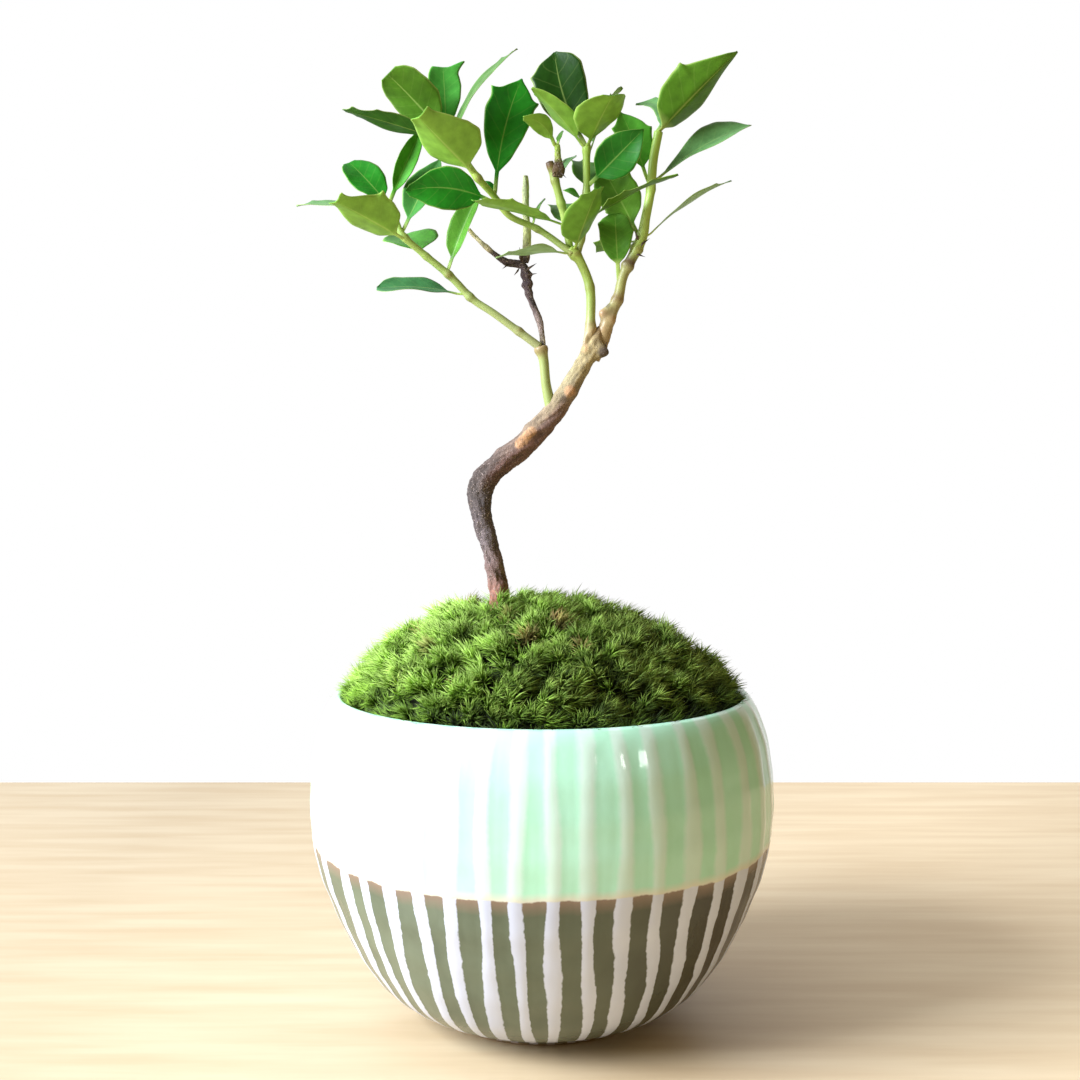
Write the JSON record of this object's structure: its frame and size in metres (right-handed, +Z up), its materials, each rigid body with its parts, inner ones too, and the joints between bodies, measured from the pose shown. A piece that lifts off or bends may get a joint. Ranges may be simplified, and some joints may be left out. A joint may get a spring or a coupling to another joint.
{
  "type": "dwarf holly bonsai",
  "caption": "Small holly bonsai: a bent bare trunk with spine-toothed leaves, planted under a moss mound in a round, striped and glazed ceramic pot that turns in at the rim.",
  "frame": {"origin": "centre of the pot's foot ring, on the surface it stands on", "axes": "+Z up out of the pot, -Y towards the front of the tree, +X to the viewer's right"},
  "size_m": [0.095, 0.095, 0.197],
  "materials": {
    "striped_glazed_ceramic": "gloss",
    "net_plastic": "matte",
    "potting_soil": "matte",
    "moss": "matte",
    "bark": "matte",
    "dead_wood": "matte",
    "green_stem": "satin",
    "holly_leaf": "satin"
  },
  "bodies": {
    "root": {"centre_stem": "green_stem", "crown_stem": "green_stem", "cut_shoot": "green_stem", "dead_stick": "dead_wood", "dead_twig": "dead_wood", "drain_net": "net_plastic", "knob_twig": "bark", "leaf_behind_shoot": "holly_leaf", "leaf_big_glossy": "holly_leaf", "leaf_bright_front": "holly_leaf", "leaf_bud_behind": "holly_leaf", "leaf_bud_dark": "holly_leaf", "leaf_crown_back": "holly_leaf", "leaf_crown_right_glossy": "holly_leaf", "leaf_crown_tiny": "holly_leaf", "leaf_cut_shoot_thin": "holly_leaf", "leaf_far_left_upright": "holly_leaf", "leaf_knob_olive": "holly_leaf", "leaf_knob_tip": "holly_leaf", "leaf_left_dark": "holly_leaf", "leaf_left_front": "holly_leaf", "leaf_left_long": "holly_leaf", "leaf_left_top_edge_on": "holly_leaf", "leaf_left_top_glossy": "holly_leaf", "leaf_low_left_back": "holly_leaf", "leaf_low_left_edge_on": "holly_leaf", "leaf_low_left_front": "holly_leaf", "leaf_low_left_inner": "holly_leaf", "leaf_low_left_round": "holly_leaf", "leaf_low_left_upright": "holly_leaf", "leaf_lowest": "holly_leaf", "leaf_pale_below": "holly_leaf", "leaf_right_back": "holly_leaf", "leaf_right_behind": "holly_leaf", "leaf_right_curved": "holly_leaf", "leaf_right_glossy": "holly_leaf", "leaf_right_inner": "holly_leaf", "leaf_right_long": "holly_leaf", "leaf_spiny_edge_on": "holly_leaf", "leaf_toothed_front": "holly_leaf", "leaf_top_dark": "holly_leaf", "leaf_top_edge_on": "holly_leaf", "leaf_top_olive": "holly_leaf", "leaf_top_pale": "holly_leaf", "leaf_top_right_back": "holly_leaf", "leaf_top_right_big": "holly_leaf", "leaf_twig_folded": "holly_leaf", "left_branch": "green_stem", "left_crown_twig": "green_stem", "left_twig": "green_stem", "moss_cushion_1": "moss", "moss_cushion_2": "moss", "moss_cushion_3": "moss", "moss_cushion_4": "moss", "moss_cushion_5": "moss", "moss_cushion_6": "moss", "pot": "striped_glazed_ceramic", "potting_soil": "potting_soil", "right_stem": "green_stem", "trunk": "bark"}
  },
  "joints": []
}
